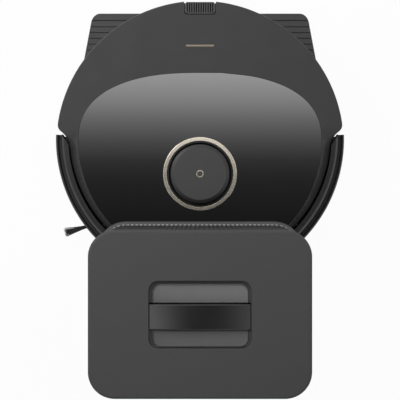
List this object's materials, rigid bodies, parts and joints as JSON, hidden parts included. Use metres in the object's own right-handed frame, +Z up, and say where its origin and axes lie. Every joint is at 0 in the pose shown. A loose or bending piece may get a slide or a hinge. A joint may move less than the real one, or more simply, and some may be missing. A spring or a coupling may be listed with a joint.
{
  "type": "robot vacuum with self-emptying dock",
  "caption": "Round robot vacuum with lidar turret, parked front first under a fluted self-emptying dock tower with a ramp and a lid with a bridge handle.",
  "frame": {"origin": "centre of the set's footprint, on the floor under the dock's feet", "axes": "+Z up, +Y from the dock's tower towards its ramp and the robot's rear, +X to the robot's left"},
  "size_m": [0.3522, 0.4454, 0.3],
  "materials": {
    "dock_graphite": "fine-grained moulded plastic, dark graphite",
    "base_graphite": "moulded plastic, dark graphite",
    "lid_graphite": "fine-grained moulded plastic, dark graphite",
    "handle_gloss": "satin black plastic",
    "scoop_grey": "matt grey plastic",
    "soft_rubber": "matt black rubber",
    "tyre_rubber": "matt black tyre rubber",
    "bag_paper": "non-woven dust bag",
    "card": "card collar",
    "inner_plastic": "unpainted inner plastic",
    "pipe_plastic": "grey pipe plastic",
    "circuit_board": "green circuit board",
    "steel": "bright steel",
    "gold_contact": "gold-plated contact",
    "smoked_window": "smoked infrared window",
    "robot_graphite": "fine-grained moulded plastic, dark graphite",
    "shell_black": "moulded black plastic",
    "panel_gloss": "piano-black gloss panel",
    "accent_silver": "satin silver accent",
    "champagne": "champagne-gold trim",
    "lidar_black": "black plastic",
    "cap_graphite": "fine-grained plastic, dark graphite",
    "lens_glass": "dark coated lens",
    "battery_wrap": "shrink-wrapped cells",
    "bumper_black": "semi-gloss black plastic",
    "hub_grey": "grey plastic",
    "fin_rubber": "orange-red brush rubber",
    "bristle_nylon": "black nylon bristles",
    "bin_smoke": "smoked bin plastic",
    "filter_paper": "pleated filter paper",
    "latch_graphite": "ribbed grey plastic"
  },
  "bodies": {
    "dock": {"dock_base": "base_graphite", "duct_cover": "base_graphite", "dock_feet": "soft_rubber", "lower_housing": "dock_graphite", "tower_shell": "dock_graphite", "bag_tray": "inner_plastic", "dust_bag": "bag_paper", "bag_collar": "card", "dust_riser": "pipe_plastic", "blower_housing": "inner_plastic", "dock_board": "circuit_board", "power_inlet": "shell_black", "beacon_window": "smoked_window"},
    "blower_rotor": {"blower_impeller": "hub_grey"},
    "contacts": {"contact_plungers": "gold_contact"},
    "lid": {"lid_shell": "lid_graphite", "lid_scoop": "scoop_grey", "lid_handle": "handle_gloss", "lid_gasket": "soft_rubber", "hinge_pins": "steel"},
    "robot": {"chassis": "shell_black", "side_shell": "shell_black", "top_cover": "robot_graphite", "gloss_panel": "panel_gloss", "rear_inlay": "accent_silver", "lidar_ring": "champagne", "lidar_well": "lidar_black", "battery": "battery_wrap", "battery_door": "shell_black", "main_board": "circuit_board", "fan_housing": "inner_plastic", "brush_housing": "inner_plastic", "brush_guard": "hub_grey", "brush_motors": "steel", "sensor_windows": "smoked_window", "charge_pads": "gold_contact", "chassis_screws": "steel"},
    "bumper": {"bumper": "bumper_black", "bumper_window": "smoked_window"},
    "lidar": {"lidar_head": "lidar_black", "lidar_lenses": "lens_glass"},
    "lidar_cap": {"lidar_cap": "cap_graphite", "cap_inlay": "champagne"},
    "left_suspension": {"left_arm": "shell_black"},
    "right_suspension": {"right_arm": "shell_black"},
    "left_wheel": {"left_hub": "hub_grey", "left_tyre": "tyre_rubber"},
    "right_wheel": {"right_hub": "hub_grey", "right_tyre": "tyre_rubber"},
    "caster_swivel": {"caster_fork": "shell_black"},
    "caster_wheel": {"caster_wheel": "hub_grey"},
    "roller": {"roller_core": "shell_black", "roller_fins": "fin_rubber"},
    "side_brush": {"side_brush_hub": "shell_black", "side_brush_bristles": "bristle_nylon"},
    "bin": {"bin_body": "bin_smoke", "bin_lid": "bin_smoke", "bin_filter": "filter_paper"},
    "bin_latch": {"bin_latch": "latch_graphite"},
    "fan_rotor": {"fan_impeller": "hub_grey"}
  },
  "joints": [
    {"name": "drive_out", "type": "slide", "parent": "dock", "child": "robot", "axis": [0, 1, 0], "range_m": [0, 0.36]},
    {"name": "lid_hinge", "type": "hinge", "parent": "dock", "child": "lid", "pos_m": [0, -0.219, 0.2886], "axis": [1, 0, 0], "range_deg": [0, 85]},
    {"name": "blower_spin", "type": "hinge", "parent": "dock", "child": "blower_rotor", "pos_m": [0.058, -0.168, 0.07], "axis": [0, 0, 1], "continuous": true},
    {"name": "contact_press", "type": "slide", "parent": "dock", "child": "contacts", "axis": [0, 0, -1], "range_m": [0, 0.003], "stiffness_N_per_m": 400},
    {"name": "bumper_press", "type": "slide", "parent": "robot", "child": "bumper", "axis": [0, 1, 0], "range_m": [0, 0.003], "stiffness_N_per_m": 600},
    {"name": "lidar_spin", "type": "hinge", "parent": "robot", "child": "lidar", "pos_m": [0, 0.0144, 0.1003], "axis": [0, 0, 1], "continuous": true},
    {"name": "lidar_cap_press", "type": "slide", "parent": "robot", "child": "lidar_cap", "axis": [0, 0, -1], "range_m": [0, 0.0015], "stiffness_N_per_m": 900},
    {"name": "left_droop", "type": "hinge", "parent": "robot", "child": "left_suspension", "pos_m": [0.094, 0.019, 0.0503], "axis": [-1, 0, 0], "range_deg": [0, 18], "stiffness_Nm_per_rad": 3, "springref_deg": -28.65},
    {"name": "right_droop", "type": "hinge", "parent": "robot", "child": "right_suspension", "pos_m": [-0.094, 0.019, 0.0503], "axis": [-1, 0, 0], "range_deg": [0, 18], "stiffness_Nm_per_rad": 3, "springref_deg": -28.65},
    {"name": "left_wheel_spin", "type": "hinge", "parent": "left_suspension", "child": "left_wheel", "pos_m": [0.117, 0.065, 0.0553], "axis": [1, 0, 0], "continuous": true},
    {"name": "right_wheel_spin", "type": "hinge", "parent": "right_suspension", "child": "right_wheel", "pos_m": [-0.117, 0.065, 0.0553], "axis": [1, 0, 0], "continuous": true},
    {"name": "caster_turn", "type": "hinge", "parent": "robot", "child": "caster_swivel", "pos_m": [0, -0.0685, 0.0303], "axis": [0, 0, 1], "continuous": true},
    {"name": "caster_roll", "type": "hinge", "parent": "caster_swivel", "child": "caster_wheel", "pos_m": [0, -0.0615, 0.0333], "axis": [1, 0, 0], "continuous": true},
    {"name": "roller_spin", "type": "hinge", "parent": "robot", "child": "roller", "pos_m": [0, 0.061, 0.0433], "axis": [1, 0, 0], "continuous": true},
    {"name": "side_brush_spin", "type": "hinge", "parent": "robot", "child": "side_brush", "pos_m": [-0.099, -0.041, 0.0303], "axis": [0, 0, 1], "continuous": true},
    {"name": "bin_slide", "type": "slide", "parent": "robot", "child": "bin", "axis": [0, 1, 0], "range_m": [0, 0.125]},
    {"name": "latch_press", "type": "slide", "parent": "bin", "child": "bin_latch", "axis": [0, 0, -1], "range_m": [0, 0.0025], "stiffness_N_per_m": 500},
    {"name": "fan_spin", "type": "hinge", "parent": "robot", "child": "fan_rotor", "pos_m": [-0.11, 0.129, 0.0603], "axis": [0, 0, 1], "continuous": true}
  ]
}
